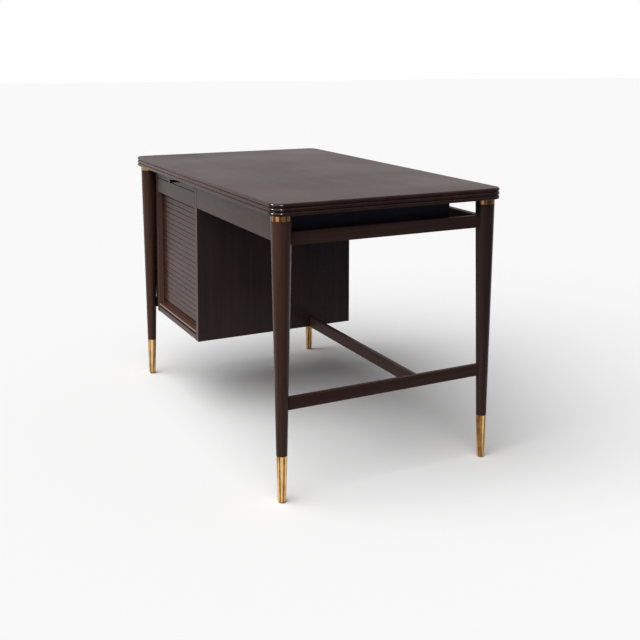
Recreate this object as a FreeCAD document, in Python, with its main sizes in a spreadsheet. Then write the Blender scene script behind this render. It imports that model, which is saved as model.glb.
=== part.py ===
"""Tambour desk: a floating top on four turned legs, a pedestal case closed by a sliding tambour, and a
shallow drawer over the kneehole.

Millimetres. The origin is on the floor, below the middle of the top. +X runs along the desk towards the
kneehole's open end, -Y is the front, where the sitter is, and +Z is up.
"""

import FreeCAD, Part
import math
import os
import re
import Sketcher

# ---------------------------------------------------------------------------------------------------------
# Sizes that can be set by themselves
# ---------------------------------------------------------------------------------------------------------

REEDS = 3  # beads in the desktop's edge
SPARE_SLATS = 1  # slats past the turn of the track when the tambour is closed
PIN_ROWS = 5  # heights at which the shelf can be set
SKETCH_RADIUS = 10  # a sketch's corners start on this circle, before their constraints place them

SIZES = {
    # desktop
    "desk_height": 762,
    "top_length": 1200,
    "top_width": 678,
    "top_thick": 32,
    "top_corner": 32,
    "reed_flat": 0.3,
    # legs, with their brass rings and ferrules
    "leg_inset": 37,
    "leg_top_radius": 26.5,
    "leg_foot_radius": 14.2,
    "ring_height": 13.5,
    "ring_wall": 1.5,
    "ferrule_height": 122,
    "ferrule_foot_radius": 10.4,
    "ferrule_round": 5.5,
    "spigot_radius": 8,
    "spigot_start": 30,
    "dowel_radius": 6,
    "dowel_in_leg": 32,
    "dowel_in_top": 16,
    # rails between the legs
    "float_gap": 44.5,
    "rail_height": 33,
    "rail_thick": 16,
    "face_inset": 4,
    "face_rail_thick": 20,
    "stretcher_bottom": 236.5,
    "stretcher_height": 33,
    "stretcher_thick": 11,
    "long_stretcher_thick": 13.5,
    "long_stretcher_y": 86,
    "tenon_radius": 4,
    "tenon_stop": 6,
    "tenon_stagger": 8,
    "case_tenon": 12,
    "stretcher_tenon": 7,
    # case
    "frame_bottom": 240,
    "case_gap": 65,
    "case_width": 420,
    "case_back_gap": 58,
    "side_thick": 22,
    "housing": 5,
    "housing_stop": 20,
    "base_rail_height": 16.5,
    "base_rail_thick": 18,
    "bottom_thick": 13,
    "nosing_height": 7,
    "nosing_cut": 8,
    "back_thick": 8,
    "back_rebate": 8,
    "head_rail_height": 47.5,
    "head_rail_thick": 14.5,
    "spacer_thick": 18,
    "spacer_setback": 12,
    "spacer_rear_inset": 40,
    "panel_thick": 6,
    "guard_land": 3,
    "guard_setback": 6,
    # shelf
    "shelf_height": 455,
    "shelf_thick": 14,
    "shelf_setback": 48,
    "shelf_back_gap": 4,
    "pin_radius": 2.5,
    "pin_in_side": 9,
    "pin_stand": 9,
    "pin_setback": 60,
    "pin_pitch": 48,
    # pull-out slide
    "slide_front_height": 29.5,
    "slide_front_thick": 14,
    "slide_top_gap": 1,
    "slide_rail_gap": 1,
    "slide_side_gap": 1,
    "slide_depth": 414,
    "slide_thick": 18,
    "slide_travel": 300,
    "kicker_width": 14,
    "batten_setback": 28,
    "batten_width": 20,
    "stop_dowel_radius": 4,
    "stop_dowel_height": 8,
    "stop_dowel_sink": 9,
    "stop_dowel_inset": 90,
    "knob_radius": 6,
    "knob_length": 20,
    "knob_stem_radius": 4.2,
    "knob_stem_length": 9,
    "knob_flare": 2,
    "knob_round": 2.6,
    "knob_stud_radius": 2,
    "knob_stud_length": 11,
    "knob_drop": 20.5,
    # drawer over the kneehole, and the frame that it runs in
    "drawer_end_gap": 1,
    "drawer_top_gap": 1,
    "drawer_side_thick": 12,
    "drawer_side_height": 55,
    "drawer_side_length": 487,
    "drawer_side_inset": 6.5,
    "drawer_back_thick": 12,
    "drawer_back_rise": 7,
    "drawer_back_notch": 10,
    "drawer_bottom_thick": 6,
    "drawer_bottom_rise": 6,
    "drawer_groove": 5,
    "drawer_travel": 330,
    "drawer_play": 0.4,
    "drawer_rail_height": 12,
    "drawer_rail_width": 40,
    "runner_lip": 2,
    "guide_height": 15.5,
    "drawer_stop_height": 8,
    "drawer_stop_width": 20,
    "pull_depth": 9,
    "pull_height": 10,
    # tambour
    "tambour_recess": 16,
    "slat_pitch": 17,
    "slat_thick": 6,
    "slat_gap": 0.4,
    "slat_round": 1.8,
    "lead_height": 30,
    "lead_thick": 14,
    "lip_height": 9.5,
    "finger_height": 5,
    "finger_depth": 7,
    "lead_rebate": 12,
    "canvas_thick": 0.7,
    "canvas_margin": 8,
    "canvas_lap": 11,
    "turn_radius": 30,
    "track_run": 400,
    # clearances and edges
    "glue_gap": 0.1,
    "run_gap": 0.3,
    "track_play": 0.5,
    "side_play": 0.6,
    "arris": 1,
}

# ---------------------------------------------------------------------------------------------------------
# Places and sizes that follow from them
# ---------------------------------------------------------------------------------------------------------

PLACES = {
    "top_under": "desk_height - top_thick",
    "reed_pitch": f"top_thick / {REEDS}",
    "leg_x": "top_length / 2 - leg_inset",
    "leg_y": "top_width / 2 - leg_inset",
    "ring_bottom": "top_under - ring_height",
    "ring_bore": "leg_top_radius - ring_wall",
    "leg_taper": "(leg_top_radius - leg_foot_radius) / (top_under - ferrule_height)",
    "leg_shoulder": "leg_foot_radius + leg_taper * (ring_bottom - ferrule_height)",
    "rail_top": "top_under - float_gap",
    "rail_bottom": "rail_top - rail_height",
    "rail_middle": "(rail_top + rail_bottom) / 2",
    "rail_inner_x": "leg_x - rail_thick / 2",
    "stretcher_inner_x": "leg_x - stretcher_thick / 2",
    "stretcher_top": "stretcher_bottom + stretcher_height",
    "stretcher_middle": "stretcher_bottom + stretcher_height / 2",
    "front_y": "face_inset - leg_y",
    "back_rail_face_y": "leg_y - face_inset - face_rail_thick",
    "case_left": "case_gap - leg_x",
    "case_right": "case_left + case_width",
    "case_centre": "case_left + case_width / 2",
    "case_back_y": "back_rail_face_y - case_back_gap",
    "back_face_y": "case_back_y - back_thick",
    "inner_left": "case_left + side_thick",
    "inner_right": "case_right - side_thick",
    "inner_width": "case_width - 2 * side_thick",
    "bottom_under": "frame_bottom + base_rail_height",
    "sill_top": "bottom_under + bottom_thick",
    "slide_front_top": "top_under - slide_top_gap",
    "slide_front_bottom": "slide_front_top - slide_front_height",
    "head_rail_top": "slide_front_bottom - slide_rail_gap",
    "head_rail_bottom": "head_rail_top - head_rail_height",
    "head_rail_back": "front_y + head_rail_thick",
    "bed_bottom": "head_rail_top - panel_thick",
    "slide_bottom": "head_rail_top + run_gap",
    "slide_top": "slide_bottom + slide_thick",
    "slide_board_y": "front_y + slide_front_thick",
    "slide_end_y": "slide_board_y + slide_depth",
    "batten_front_y": "front_y + batten_setback",
    "batten_back_y": "batten_front_y + batten_width",
    "stop_dowel_y": "batten_back_y + slide_travel + stop_dowel_radius + run_gap",
    "stop_dowel_left_x": "inner_left + stop_dowel_inset",
    "stop_dowel_right_x": "inner_right - stop_dowel_inset",
    "knob_z": "top_under - knob_drop",
    "face_y": "front_y + tambour_recess",
    "hinge_y": "face_y + slat_thick",
    "turn_y": "hinge_y + turn_radius",
    "turn_sag": "turn_radius - sqrt(turn_radius * turn_radius - slat_pitch * slat_pitch / 4)",
    "track_outer": "turn_radius + slat_thick + track_play",
    "track_inner": "turn_radius - turn_sag - track_play",
    "turn_z": "bed_bottom - track_play - track_outer",
    "track_end_y": "turn_y + track_run",
    "guard_top": "turn_z + track_inner - guard_land",
    "guard_bottom": "guard_top - panel_thick",
    "guard_front_y": "turn_y + guard_setback",
    "lead_bottom": "sill_top + track_play",
    "lead_top": "lead_bottom + lead_height",
    "pin_z": "shelf_height - pin_radius",
    "shelf_front_y": "front_y + shelf_setback",
    "shelf_back_y": "back_face_y - shelf_back_gap",
    "pin_front_y": "shelf_front_y + pin_setback",
    "pin_rear_y": "shelf_back_y - pin_setback",
    "drawer_left": "case_right + drawer_end_gap",
    "drawer_face_right": "leg_x - leg_top_radius - drawer_end_gap",
    "drawer_right": "drawer_face_right - drawer_side_inset",
    "drawer_room_left": "drawer_left + drawer_side_thick",
    "drawer_room_right": "drawer_right - drawer_side_thick",
    "drawer_face_back": "front_y + face_rail_thick",
    "drawer_end_y": "drawer_face_back + drawer_side_length",
    "drawer_back_y": "drawer_end_y - drawer_back_thick",
    "drawer_rail_top": "rail_bottom + drawer_rail_height",
    "drawer_rail_front": "drawer_face_back + run_gap",
    "drawer_rail_back": "drawer_rail_front + drawer_rail_width",
    "drawer_low": "drawer_rail_top + run_gap",
    "drawer_high": "drawer_low + drawer_side_height",
    "drawer_floor": "drawer_low + drawer_bottom_rise",
    "drawer_stop_y": "drawer_back_y - drawer_travel - run_gap",
}

doc = FreeCAD.newDocument("TambourDesk")
pieces = []


def fill_sheet(name, cells):
    """A spreadsheet with one aliased cell for each entry."""
    sheet = doc.addObject("Spreadsheet::Sheet", name)
    for row, (alias, content) in enumerate(cells.items(), start=1):
        sheet.set(f"A{row}", alias)
        sheet.set(f"B{row}", content)
        sheet.setAlias(f"B{row}", alias)
    doc.recompute()
    return sheet


def formula(text):
    """The text with each name of a size or place written as a reference to its cell."""

    def cell(match):
        word = match.group(0)
        if word in SIZES:
            return f"Sizes.{word}"
        return f"Places.{word}" if word in PLACES else word

    return re.sub(r"[a-z][a-z0-9_]*", cell, str(text))


sizes = fill_sheet("Sizes", {alias: str(number) for alias, number in SIZES.items()})
places = fill_sheet("Places", {alias: "=" + formula(text) for alias, text in PLACES.items()})


def known(name):
    """The number that a size or place has now."""
    return float((sizes if name in SIZES else places).get(name))


# ---------------------------------------------------------------------------------------------------------
# Building blocks
# ---------------------------------------------------------------------------------------------------------


def bind(thing, **formulas):
    """Tie properties to the sheets. A double underscore stands for a dot."""
    for name, text in formulas.items():
        thing.setExpression(name.replace("__", "."), formula(text))
    return thing


def put(thing, x, y, z):
    """Tie the place of a thing to the sheets."""
    return bind(thing, Placement__Base__x=x, Placement__Base__y=y, Placement__Base__z=z)


def block(name, x, y, z):
    """A box between a low and a high plane each way."""
    box = doc.addObject("Part::Box", name)
    spans = [f"({high}) - ({low})" for low, high in (x, y, z)]
    bind(box, Length=spans[0], Width=spans[1], Height=spans[2])
    return put(box, x[0], y[0], z[0])


def rod(name, axis, radius, start, end, across):
    """A cylinder along axis from start to end. across is its place on the other two, in X, Y, Z order."""
    turn = {
        "X": FreeCAD.Rotation(FreeCAD.Vector(0, 1, 0), 90),
        "Y": FreeCAD.Rotation(FreeCAD.Vector(1, 0, 0), -90),
        "Z": FreeCAD.Rotation(),
    }
    cylinder = doc.addObject("Part::Cylinder", name)
    cylinder.Placement = FreeCAD.Placement(FreeCAD.Vector(), turn[axis])
    bind(cylinder, Radius=radius, Height=f"({end}) - ({start})")
    base = list(across)
    base.insert("XYZ".index(axis), start)
    return put(cylinder, *base)


def joined(name, things):
    """Several solids made one."""
    union = doc.addObject("Part::MultiFuse", name)
    union.Shapes = things
    union.Refine = True
    doc.recompute()
    return union


def less(name, base, *tools):
    """A solid with the tools cut away."""
    tool = tools[0] if len(tools) == 1 else joined(name + "_tools", list(tools))
    rest = doc.addObject("Part::Cut", name)
    rest.Base = base
    rest.Tool = tool
    rest.Refine = True
    doc.recompute()
    return rest


def edges_where(shape, test):
    """The numbers of the edges whose ends pass a test."""
    found = []
    for number, edge in enumerate(shape.Edges, start=1):
        if test(*[vertex.Point for vertex in edge.Vertexes]):
            found.append(number)
    return found


def lies_along(axis):
    """A test for edges that run along an axis."""
    way = {"X": FreeCAD.Vector(1, 0, 0), "Y": FreeCAD.Vector(0, 1, 0), "Z": FreeCAD.Vector(0, 0, 1)}[axis]

    def test(*ends):
        run = ends[-1] - ends[0]
        return len(ends) == 2 and abs(run.dot(way)) > 0.999 * run.Length

    return test


def shaped_edges(kind, name, base, radius, test):
    """A copy of base with some of its edges rounded or bevelled."""
    doc.recompute()
    shaped = doc.addObject(kind, name)
    shaped.Base = base
    shaped.Edges = [(number, radius, radius) for number in edges_where(base.Shape, test)]
    doc.recompute()
    return shaped


def eased(base, test):
    """A copy of base with a small bevel on the edges that pass a test."""
    return shaped_edges("Part::Chamfer", base.Name + "_eased", base, known("arris"), test)


def new_sketch(body, role, points):
    """A closed outline on one of the body's own planes, with every corner tied to the sheets."""
    plane = [feature for feature in body.Origin.OriginFeatures if feature.Role == role][0]
    sketch = body.newObject("Sketcher::SketchObject", body.Name + "_outline")
    sketch.AttachmentSupport = [(plane, "")]
    sketch.MapMode = "FlatFace"
    count = len(points)
    start = [FreeCAD.Vector(math.cos(i), math.sin(i), 0) * SKETCH_RADIUS for i in range(count)]
    for i in range(count):
        sketch.addGeometry(Part.LineSegment(start[i], start[(i + 1) % count]))
    for i in range(count):
        sketch.addConstraint(Sketcher.Constraint("Coincident", i, 2, (i + 1) % count, 1))
    for i, (across, up) in enumerate(points):
        for kind, here, text in (("DistanceX", start[i].x, across), ("DistanceY", start[i].y, up)):
            number = sketch.addConstraint(Sketcher.Constraint(kind, -1, 1, i, 1, here))
            sketch.setExpression(f"Constraints[{number}]", formula(text))
    doc.recompute()
    return sketch


def turned(name, points):
    """A body turned round the Z axis from an outline of (radius, height) corners."""
    body = doc.addObject("PartDesign::Body", name)
    sketch = new_sketch(body, "XZ_Plane", points)
    turning = body.newObject("PartDesign::Revolution", name + "_turning")
    turning.Profile = sketch
    turning.ReferenceAxis = (sketch, ["V_Axis"])
    turning.Angle = 360
    body.Tip = turning
    doc.recompute()
    return body


def round_off(body, radius, test):
    """Round the edges of a body's last feature that pass a test."""
    last = body.Tip
    fillet = body.newObject("PartDesign::Fillet", body.Name + "_round")
    fillet.Base = (last, [f"Edge{number}" for number in edges_where(last.Shape, test)])
    bind(fillet, Radius=radius)
    body.Tip = fillet
    doc.recompute()
    return body


def at_height(height):
    """A test for edges that lie level at a height."""

    def test(*ends):
        return all(abs(end.z - height) < 0.001 for end in ends)

    return test


def lengthwise(name, outlines):
    """A body of outlines in the YZ plane, each padded both ways along X to its own length."""
    body = doc.addObject("PartDesign::Body", name)
    for points, length in outlines:
        sketch = new_sketch(body, "YZ_Plane", points)
        pad = body.newObject("PartDesign::Pad", name + "_pad")
        pad.Profile = sketch
        pad.Midplane = True
        bind(pad, Length=length)
        body.Tip = pad
        doc.recompute()
    return body


def rectangle(low_y, high_y, low_z, high_z):
    return [(low_y, low_z), (high_y, low_z), (high_y, high_z), (low_y, high_z)]


def piece(thing, node):
    """Keep a finished sub-part under its own name."""
    thing.Label = node
    pieces.append(thing)
    return thing


# ---------------------------------------------------------------------------------------------------------
# Legs, rings and ferrules
# ---------------------------------------------------------------------------------------------------------

CORNERS = {
    "front_left": ("-leg_x", "-leg_y"),
    "front_right": ("leg_x", "-leg_y"),
    "rear_left": ("-leg_x", "leg_y"),
    "rear_right": ("leg_x", "leg_y"),
}


def turned_leg(corner, x, y):
    """The leg's whole turning, before any joint is cut in it."""
    leg = turned(
        f"turning_{corner}",
        [
            ("0", "spigot_start"),
            ("spigot_radius", "spigot_start"),
            ("spigot_radius", "ferrule_height"),
            ("leg_foot_radius", "ferrule_height"),
            ("leg_shoulder", "ring_bottom"),
            ("ring_bore - glue_gap", "ring_bottom"),
            ("ring_bore - glue_gap", "top_under"),
            ("0", "top_under"),
        ],
    )
    return put(leg, x, y, "0")


def ring(corner, x, y):
    band = turned(
        f"ring_{corner}",
        [
            ("ring_bore", "ring_bottom"),
            ("leg_top_radius", "ring_bottom"),
            ("leg_top_radius", "top_under"),
            ("ring_bore", "top_under"),
        ],
    )
    piece(put(band, x, y, "0"), f"leg_ring_{corner}")


def ferrule(corner, x, y):
    cup = turned(
        f"cup_{corner}",
        [
            ("0", "0"),
            ("ferrule_foot_radius", "0"),
            ("leg_foot_radius", "ferrule_height"),
            ("spigot_radius + glue_gap", "ferrule_height"),
            ("spigot_radius + glue_gap", "spigot_start"),
            ("0", "spigot_start"),
        ],
    )
    round_off(cup, "ferrule_round", at_height(0))
    piece(put(cup, x, y, "0"), f"ferrule_{corner}")


turnings = {corner: turned_leg(corner, x, y) for corner, (x, y) in CORNERS.items()}
for corner, (x, y) in CORNERS.items():
    ring(corner, x, y)
    ferrule(corner, x, y)

# ---------------------------------------------------------------------------------------------------------
# Rails between the legs: each is scribed to the legs and has a round tenon at both ends
# ---------------------------------------------------------------------------------------------------------


def long_rod(name, axis, start, end, across, gap="0"):
    """The round core whose ends are a rail's two tenons, or, with a gap, the tool for their mortises."""
    return rod(name, axis, f"tenon_radius + {gap}", f"({start}) - {gap}", f"({end}) + {gap}", across)


def rail(node, bar, axis, start, end, across, legs):
    """A rail scribed to its legs, with its tenons. Returns the tool that cuts their mortises."""
    scribed = less(f"{node}_scribed", eased(bar, lies_along(axis)), *[turnings[leg] for leg in legs])
    core = long_rod(f"{node}_core", axis, start, end, across)
    whole = joined(f"{node}_whole", [scribed, core])
    return whole, long_rod(f"{node}_mortise", axis, start, end, across, "glue_gap")


def end_pair(side, x):
    """The upper rail and the lower stretcher at one end, from leg to leg."""
    legs = [f"front_{side}", f"rear_{side}"]
    reach = "leg_y - tenon_stop"
    deep = ("rail_thick / 2 - leg_y", "leg_y - rail_thick / 2")
    thick = (f"{x} - rail_thick / 2", f"{x} + rail_thick / 2")
    thin = (f"{x} - stretcher_thick / 2", f"{x} + stretcher_thick / 2")
    upper = block(f"upper_{side}", thick, deep, ("rail_bottom", "rail_top"))
    lower = block(f"lower_{side}", thin, deep, ("stretcher_bottom", "stretcher_top"))
    high = (x, "rail_middle + tenon_stagger")
    low = (x, "stretcher_middle")
    whole, upper_mortise = rail(f"end_rail_{side}", upper, "Y", f"-({reach})", reach, high, legs)
    piece(whole, f"end_rail_{side}")
    stretcher, lower_mortise = rail(f"stretcher_{side}", lower, "Y", f"-({reach})", reach, low, legs)
    return stretcher, [upper_mortise, lower_mortise]


stretcher_left, mortises_left = end_pair("left", "-leg_x")
stretcher_right, mortises_right = end_pair("right", "leg_x")
piece(stretcher_left, "stretcher_left")

back_bar = block(
    "back_bar",
    ("rail_thick / 2 - leg_x", "leg_x - rail_thick / 2"),
    ("back_rail_face_y", "back_rail_face_y + face_rail_thick"),
    ("rail_bottom", "rail_top"),
)
back_rail, back_mortise = rail(
    "back_rail",
    back_bar,
    "X",
    "tenon_stop - leg_x",
    "leg_x - tenon_stop",
    ("back_rail_face_y + face_rail_thick / 2", "rail_middle - tenon_stagger"),
    ["rear_left", "rear_right"],
)
piece(back_rail, "back_rail")

long_bar = block(
    "long_bar",
    ("case_right", "stretcher_inner_x"),
    ("long_stretcher_y - long_stretcher_thick / 2", "long_stretcher_y + long_stretcher_thick / 2"),
    ("stretcher_bottom", "stretcher_top"),
)
long_ends = ("case_right - case_tenon", "stretcher_inner_x + stretcher_tenon")
long_across = ("long_stretcher_y", "stretcher_middle")
long_core = long_rod("long_core", "X", *long_ends, long_across)
long_mortise = long_rod("long_mortise", "X", *long_ends, long_across, "glue_gap")
piece(joined("long_whole", [eased(long_bar, lies_along("X")), long_core]), "stretcher_long")
piece(less("stretcher_right_cut", stretcher_right, long_mortise), "stretcher_right")

# ---------------------------------------------------------------------------------------------------------
# Desktop: three full-round beads, one on the other, with a dowel from each leg
# ---------------------------------------------------------------------------------------------------------


def level(*ends):
    """A test for edges that lie level."""
    return all(abs(end.z - ends[0].z) < 0.001 for end in ends)


def reeded_board():
    beads = []
    for i in range(REEDS):
        low = f"top_under + {i} * reed_pitch"
        slab = block(
            f"bead_{i}",
            ("-top_length / 2", "top_length / 2"),
            ("-top_width / 2", "top_width / 2"),
            (low, f"{low} + reed_pitch"),
        )
        cornered = shaped_edges("Part::Fillet", f"bead_{i}_plan", slab, known("top_corner"), lies_along("Z"))
        radius = (known("reed_pitch") - known("reed_flat")) / 2
        beads.append(shaped_edges("Part::Fillet", f"bead_{i}_round", cornered, radius, level))
    return joined("board", beads)


def top_dowel(corner, x, y, gap="0"):
    ends = (f"top_under - dowel_in_leg - {gap}", f"top_under + dowel_in_top + {gap}")
    tag = "dowel" if gap == "0" else "dowel_hole"
    return rod(f"{tag}_{corner}", "Z", f"dowel_radius + {gap}", *ends, (x, y))


dowels = [top_dowel(corner, x, y) for corner, (x, y) in CORNERS.items()]
dowel_holes = {corner: top_dowel(corner, x, y, "glue_gap") for corner, (x, y) in CORNERS.items()}
piece(less("board_drilled", reeded_board(), *dowel_holes.values()), "desktop")

dowel_group = doc.addObject("Part::Compound", "dowel_group")
dowel_group.Links = dowels
piece(dowel_group, "top_dowels")

leg_mortises = {
    "front_left": mortises_left,
    "front_right": mortises_right,
    "rear_left": mortises_left + [back_mortise],
    "rear_right": mortises_right + [back_mortise],
}
for corner, turning in turnings.items():
    leg = less(f"leg_{corner}_cut", turning, dowel_holes[corner], *leg_mortises[corner])
    piece(leg, f"leg_{corner}")

# ---------------------------------------------------------------------------------------------------------
# Case
# ---------------------------------------------------------------------------------------------------------

ACROSS = ("inner_left", "inner_right")


def into_sides(depth):
    """The span between the case's sides and this much into each of them."""
    return (f"inner_left - {depth}", f"inner_right + {depth}")


def housed(node, y, z, stop):
    """A board between the sides, and its tongues and the groove that houses them."""
    between = block(f"{node}_board", ACROSS, y, z)
    back_from = (f"{y[0]} + {stop}", y[1])
    tongues = block(f"{node}_tongues", into_sides("housing"), back_from, z)
    groove = block(f"{node}_groove", into_sides("(housing + glue_gap)"), back_from, z)
    return between, tongues, groove


def track_tool():
    """The room for the tambour's ends: up the front, round the turn and back under the slide's bed."""
    depth = "(housing + side_play)"
    wall = ("turn_y - track_outer", "turn_y - track_inner")
    rise = block("track_rise", into_sides(depth), wall, ("sill_top", "turn_z"))
    shelf_like = ("turn_z + track_inner", "turn_z + track_outer")
    run = block("track_back_run", into_sides(depth), ("turn_y", "track_end_y"), shelf_like)
    quarter = FreeCAD.Rotation(FreeCAD.Matrix(0, 0, -1, 0, -1, 0, 0, 0, 0, 1, 0, 0, 0, 0, 0, 1))
    rounds = []
    for tag, radius in (("outer", "track_outer"), ("inner", "track_inner")):
        disc = doc.addObject("Part::Cylinder", f"turn_{tag}")
        disc.Angle = 90
        disc.Placement = FreeCAD.Placement(FreeCAD.Vector(), quarter)
        bind(disc, Radius=radius, Height=f"inner_width + 2 * {depth}")
        rounds.append(put(disc, f"inner_right + {depth}", "turn_y", "turn_z"))
    bend = less("track_bend", *rounds)
    return joined("track", [rise, bend, run])


bottom_parts = housed("bottom", ("front_y", "back_face_y"), ("bottom_under", "sill_top"), "housing_stop")
bottom_cut = block(
    "bottom_shadow",
    ACROSS,
    ("front_y", "front_y + nosing_cut"),
    ("bottom_under", "sill_top - nosing_height"),
)


def nosing_edge(*ends):
    """A test for the front edges of the bottom board's nosing."""
    front = all(abs(end.y - known("front_y")) < 0.001 for end in ends)
    return front and level(*ends)


nosed = less("bottom_nosed", bottom_parts[0], bottom_cut)
nosed = shaped_edges("Part::Fillet", "bottom_soft", nosed, 2 * known("arris"), nosing_edge)
piece(joined("bottom_whole", [nosed, bottom_parts[1]]), "case_bottom")

guard_parts = housed("guard", ("guard_front_y", "back_face_y"), ("guard_bottom", "guard_top"), "0")
piece(joined("guard_whole", list(guard_parts[:2])), "track_guard")

bed_parts = housed("bed", ("head_rail_back", "back_face_y"), ("bed_bottom", "head_rail_top"), "housing_stop")
piece(joined("bed_whole", list(bed_parts[:2])), "slide_bed")

BASE = ("frame_bottom", "bottom_under")
base_front = block("base_front", ACROSS, ("front_y", "front_y + base_rail_thick"), BASE)
base_rear = block("base_rear", ACROSS, ("back_face_y - base_rail_thick", "back_face_y"), BASE)
piece(eased(base_front, lies_along("X")), "base_rail_front")
piece(base_rear, "base_rail_rear")

head = block("head", ACROSS, ("front_y", "head_rail_back"), ("head_rail_bottom", "head_rail_top"))
piece(eased(head, lies_along("X")), "head_rail")

BACK = (("back_face_y", "case_back_y"), ("frame_bottom", "top_under"))
back_panel = block("back_panel", into_sides("(back_rebate - glue_gap)"), *BACK)
back_rebate = block("back_rebate_tool", into_sides("back_rebate"), *BACK)
piece(back_panel, "case_back")


def pin_rods(tag, axis_z, inner_end):
    """Rods across the case at both pin places, from inside one side to inside the other."""
    rods = []
    for place in ("front", "rear"):
        across = (f"pin_{place}_y", axis_z)
        rods.append(rod(f"{tag}_{place}", "X", "pin_radius + glue_gap", *into_sides(inner_end), across))
    return rods


pin_holes = []
for row in range(PIN_ROWS):
    steps = row - PIN_ROWS // 2
    pin_holes += pin_rods(f"pin_hole_{row}", f"pin_z + {steps} * pin_pitch", "(pin_in_side + glue_gap)")

side_tools = [
    track_tool(),
    bottom_parts[2],
    guard_parts[2],
    bed_parts[2],
    back_rebate,
    *pin_holes,
]
WHOLE_CASE = (("front_y", "case_back_y"), ("frame_bottom", "top_under"))
outer_blank = eased(block("outer_blank", ("case_left", "inner_left"), *WHOLE_CASE), lies_along("Z"))
inner_blank = eased(block("inner_blank", ("inner_right", "case_right"), *WHOLE_CASE), lies_along("Z"))
all_side_tools = joined("side_tools", side_tools)
piece(less("outer_side", outer_blank, all_side_tools), "case_side_outer")
piece(less("inner_side", inner_blank, all_side_tools, long_mortise), "case_side_inner")

# battens that close the slot between the case and the left legs
SLOT = ("-rail_inner_x", "case_left")
SLOT_HEIGHT = ("frame_bottom", "rail_top")
front_slot = ("front_y + spacer_setback", "front_y + spacer_setback + spacer_thick")
front_batten = block("front_batten", SLOT, front_slot, SLOT_HEIGHT)
piece(less("front_scribed", front_batten, turnings["front_left"]), "spacer_front")
rear_slot = ("case_back_y - spacer_rear_inset", "case_back_y - spacer_rear_inset + spacer_thick")
piece(block("rear_batten", SLOT, rear_slot, SLOT_HEIGHT), "spacer_rear")

# ---------------------------------------------------------------------------------------------------------
# Shelf on four pins
# ---------------------------------------------------------------------------------------------------------

shelf = block(
    "shelf_blank",
    ("inner_left + track_play", "inner_right - track_play"),
    ("shelf_front_y", "shelf_back_y"),
    ("shelf_height", "shelf_height + shelf_thick"),
)
piece(eased(shelf, lies_along("X")), "shelf")

pins = []
for place in ("front", "rear"):
    for tag, start, end in (
        ("left", "inner_left - pin_in_side", "inner_left + pin_stand"),
        ("right", "inner_right - pin_stand", "inner_right + pin_in_side"),
    ):
        pins.append(rod(f"pin_{place}_{tag}", "X", "pin_radius", start, end, (f"pin_{place}_y", "pin_z")))
pin_group = doc.addObject("Part::Compound", "pin_group")
pin_group.Links = pins
piece(pin_group, "shelf_pins")

# ---------------------------------------------------------------------------------------------------------
# Pull-out slide: it runs on the bed, below two kickers, and its dowels stop at a batten
# ---------------------------------------------------------------------------------------------------------

KICKER_HEIGHT = ("slide_top + run_gap", "top_under")
KICKER_DEPTH = ("slide_board_y + run_gap", "back_face_y")
for tag, x in (
    ("left", ("inner_left", "inner_left + kicker_width")),
    ("right", ("inner_right - kicker_width", "inner_right")),
):
    piece(block(f"kicker_{tag}", x, KICKER_DEPTH, KICKER_HEIGHT), f"slide_kicker_{tag}")
stop_batten = block(
    "stop_batten",
    ("inner_left + kicker_width", "inner_right - kicker_width"),
    ("batten_front_y", "batten_back_y"),
    KICKER_HEIGHT,
)
piece(stop_batten, "slide_stop_batten")

SLIDE_WIDTH = ("inner_left + slide_side_gap", "inner_right - slide_side_gap")
SLIDE_DEPTH = ("slide_board_y", "slide_end_y")
slide_blank = block("slide_blank", SLIDE_WIDTH, SLIDE_DEPTH, ("slide_bottom", "slide_top"))
stop_dowels = []
stop_holes = []
for tag in ("left", "right"):
    low = "slide_top - stop_dowel_sink"
    place = (f"stop_dowel_{tag}_x", "stop_dowel_y")
    dowel = rod(f"stop_{tag}", "Z", "stop_dowel_radius", low, "slide_top + stop_dowel_height", place)
    hole = rod(f"stop_hole_{tag}", "Z", "stop_dowel_radius + glue_gap", low, "slide_top + arris", place)
    stop_dowels.append(dowel)
    stop_holes.append(hole)
stud_hole = rod(
    "stud_hole",
    "Y",
    "knob_stud_radius + glue_gap",
    "front_y - arris",
    "front_y + knob_stud_length + glue_gap",
    ("case_centre", "knob_z"),
)
piece(less("slide_bored", slide_blank, *stop_holes), "slide_board")
stop_group = doc.addObject("Part::Compound", "stop_group")
stop_group.Links = stop_dowels
piece(stop_group, "slide_stop_dowels")

front_strip = block(
    "front_strip",
    SLIDE_WIDTH,
    ("front_y", "slide_board_y"),
    ("slide_front_bottom", "slide_front_top"),
)
piece(less("front_bored", eased(front_strip, lies_along("X")), stud_hole), "slide_front")

knob = turned(
    "knob_turning",
    [
        ("0", "-knob_stud_length"),
        ("knob_stud_radius", "-knob_stud_length"),
        ("knob_stud_radius", "0"),
        ("knob_stem_radius", "0"),
        ("knob_stem_radius", "knob_stem_length"),
        ("knob_radius", "knob_stem_length + knob_flare"),
        ("knob_radius", "knob_length"),
        ("0", "knob_length"),
    ],
)
round_off(knob, "knob_round", at_height(known("knob_length")))
knob.Placement = FreeCAD.Placement(FreeCAD.Vector(), FreeCAD.Rotation(FreeCAD.Vector(1, 0, 0), 90))
piece(put(knob, "case_centre", "front_y", "knob_z"), "slide_knob")

# ---------------------------------------------------------------------------------------------------------
# Frame for the drawer: a rail and two runners below it, a guide beside it, two kickers and a stop above it
# ---------------------------------------------------------------------------------------------------------

RUNNER_DEPTH = ("drawer_rail_back", "case_back_y")
RUNNER_HEIGHT = ("rail_bottom", "drawer_rail_top")
drawer_rail = block(
    "drawer_rail",
    ("case_right", "rail_inner_x"),
    ("drawer_rail_front", "drawer_rail_back"),
    RUNNER_HEIGHT,
)
piece(less("drawer_rail_scribed", drawer_rail, turnings["front_right"]), "front_rail")

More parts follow.
